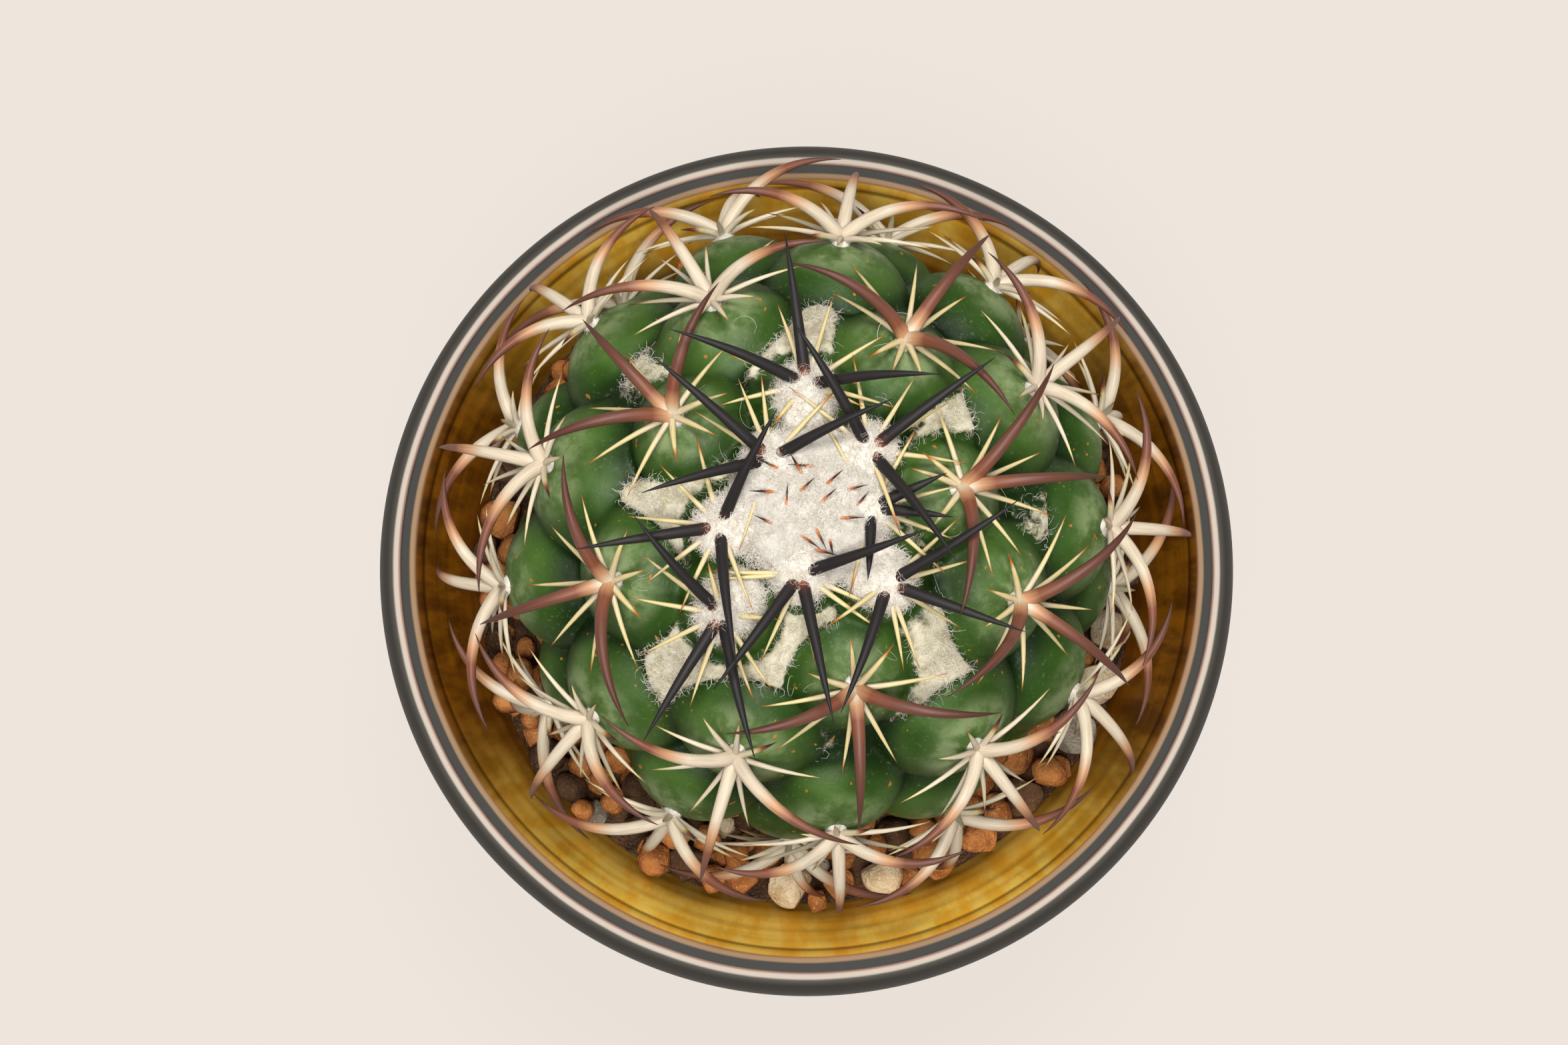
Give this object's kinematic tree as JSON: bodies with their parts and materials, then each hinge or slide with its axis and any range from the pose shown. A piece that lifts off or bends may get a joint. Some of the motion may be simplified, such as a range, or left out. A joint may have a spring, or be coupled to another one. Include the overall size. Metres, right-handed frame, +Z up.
{
  "type": "potted round cactus",
  "caption": "Round cactus with large tubercles, a woolly crown and clusters of curved spines, resting in a glazed stoneware bowl of gritty soil and small stones.",
  "frame": {"origin": "centre of the pot's foot ring, on the surface that the pot stands on", "axes": "+Z up along the pot's axis; -Y is the side nearest the viewer and +X is to the viewer's right"},
  "size_m": [0.152, 0.152, 0.1625],
  "materials": {
    "pot_glaze": "gloss",
    "screen_plastic": "matte",
    "soil_grit": "matte",
    "stem_skin": "satin",
    "wool": "matte",
    "young_spines": "satin",
    "old_spines": "satin",
    "stone_clay": "matte",
    "stone_dark": "matte",
    "stone_pale": "matte",
    "stone_grey": "matte"
  },
  "bodies": {
    "root": {"pot": "pot_glaze", "drain_screen": "screen_plastic", "soil": "soil_grit", "stem": "stem_skin", "crown_wool": "wool", "stone_mauve": "stone_dark", "stone_clay_a": "stone_clay", "stone_white_a": "stone_pale", "stone_clay_b": "stone_clay", "stone_cream": "stone_pale", "stone_clay_c": "stone_clay", "stone_clay_d": "stone_clay", "stone_dark_a": "stone_dark", "stone_grey": "stone_grey", "stone_tan": "stone_pale", "stone_beige": "stone_pale", "stone_moss": "stone_dark", "stone_dark_b": "stone_dark", "stone_clay_e": "stone_clay", "stone_clay_f": "stone_clay", "spines_00": "young_spines", "spines_01": "young_spines", "spines_02": "young_spines", "spines_03": "young_spines", "spines_04": "young_spines", "spines_05": "young_spines", "spines_06": "young_spines", "spines_07": "young_spines", "spines_08": "old_spines", "spines_09": "old_spines", "spines_10": "old_spines", "spines_11": "old_spines", "spines_12": "old_spines", "spines_13": "old_spines", "spines_14": "old_spines", "spines_15": "old_spines", "spines_16": "old_spines", "spines_17": "old_spines", "spines_18": "old_spines", "spines_19": "old_spines", "spines_20": "old_spines", "spines_21": "old_spines", "spines_22": "old_spines", "spines_23": "old_spines", "spines_24": "old_spines", "spines_25": "old_spines", "spines_26": "old_spines", "spines_27": "old_spines", "spines_28": "old_spines", "spines_29": "old_spines", "spines_30": "old_spines", "spines_31": "old_spines", "spines_32": "old_spines", "spines_33": "old_spines", "spines_34": "old_spines", "spines_35": "old_spines", "spines_36": "old_spines", "spines_37": "old_spines"}
  },
  "joints": []
}
